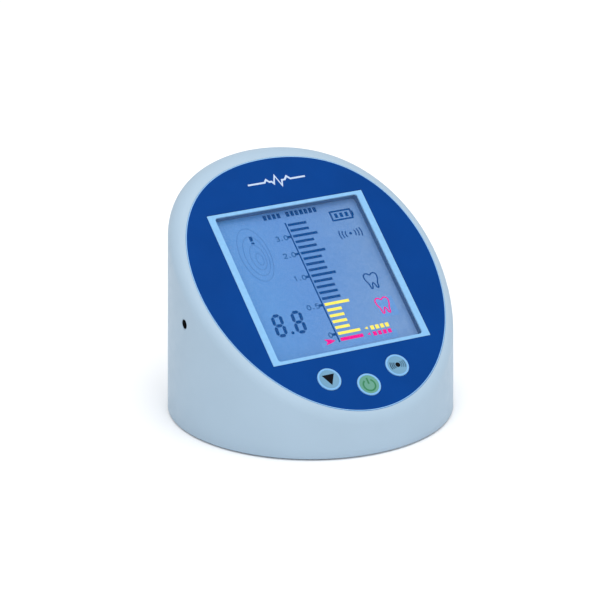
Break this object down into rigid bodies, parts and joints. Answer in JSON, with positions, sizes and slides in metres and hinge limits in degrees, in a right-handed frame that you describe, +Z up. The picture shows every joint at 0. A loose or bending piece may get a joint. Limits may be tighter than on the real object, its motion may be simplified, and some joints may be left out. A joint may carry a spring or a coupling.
{
  "type": "apex locator",
  "caption": "Round drum with a sloping face: square segment display, three push-buttons, side socket for a probe lead, rear charging socket, battery bay below.",
  "frame": {"origin": "under the middle of the outline, on the plane of the feet", "axes": "+Z up, the sloping face looks towards -Y and up, +X to its right"},
  "size_m": [0.1104, 0.108, 0.0915],
  "materials": {
    "housing_plastic": "satin moulded, fine grain",
    "panel_print": "printed film, satin",
    "frame_plastic": "smooth moulded",
    "clear_plastic": "clear",
    "display_glass": "backlit segment display",
    "light_guide": "milky",
    "lamp_plastic": "smooth",
    "contact_rubber": "matt",
    "circuit_board": "solder resist",
    "screw_steel": "zinc plated",
    "button_grey": "smooth moulded",
    "button_green": "smooth moulded",
    "black_plastic": "moulded",
    "plunger_plastic": "smooth",
    "contact_brass": "tinned edges",
    "contact_steel": "nickel plated",
    "lead_insulation": "soft plastic",
    "chip_plastic": "moulded",
    "capacitor_sleeve": "sleeved",
    "transformer_tape": "wrapped",
    "ribbon_plastic": "ribbed",
    "plug_plastic": "moulded",
    "cell_sleeve": "printed sleeve",
    "foot_rubber": "matt"
  },
  "bodies": {
    "case": {"housing": "housing_plastic", "face_panel": "panel_print", "window_frame": "frame_plastic", "display_window": "clear_plastic", "display_glass": "display_glass", "backlight": "light_guide", "backlight_lamps": "lamp_plastic", "display_contacts": "contact_rubber", "display_board": "circuit_board", "display_screws": "screw_steel", "down_switch": "black_plastic", "power_switch": "black_plastic", "sound_switch": "black_plastic", "probe_socket": "black_plastic", "probe_lugs": "contact_brass", "probe_leads": "lead_insulation", "charge_socket": "black_plastic", "charge_pin": "contact_steel", "main_board": "circuit_board", "board_screws": "screw_steel", "measuring_chip": "chip_plastic", "small_chips": "chip_plastic", "capacitors": "capacitor_sleeve", "isolating_transformer": "transformer_tape", "buzzer": "black_plastic", "ribbon_cable": "ribbon_plastic", "ribbon_plugs": "plug_plastic", "lead_plugs": "plug_plastic", "battery_cells": "cell_sleeve", "battery_plates": "contact_steel", "battery_springs": "contact_steel", "battery_leads": "lead_insulation", "base_plate": "housing_plastic", "base_screws": "screw_steel", "battery_door": "housing_plastic", "door_screws": "screw_steel", "feet": "foot_rubber"},
    "down_key": {"down_button": "button_grey", "down_plunger": "plunger_plastic"},
    "power_key": {"power_button": "button_green", "power_plunger": "plunger_plastic"},
    "sound_key": {"sound_button": "button_grey", "sound_plunger": "plunger_plastic"}
  },
  "joints": [
    {"name": "down_press", "type": "slide", "parent": "case", "child": "down_key", "axis": [0, 0.6307, -0.776], "range_m": [0, 0.0005], "stiffness_N_per_m": 3000},
    {"name": "power_press", "type": "slide", "parent": "case", "child": "power_key", "axis": [0, 0.6307, -0.776], "range_m": [0, 0.0005], "stiffness_N_per_m": 3000},
    {"name": "sound_press", "type": "slide", "parent": "case", "child": "sound_key", "axis": [0, 0.6307, -0.776], "range_m": [0, 0.0005], "stiffness_N_per_m": 3000}
  ]
}
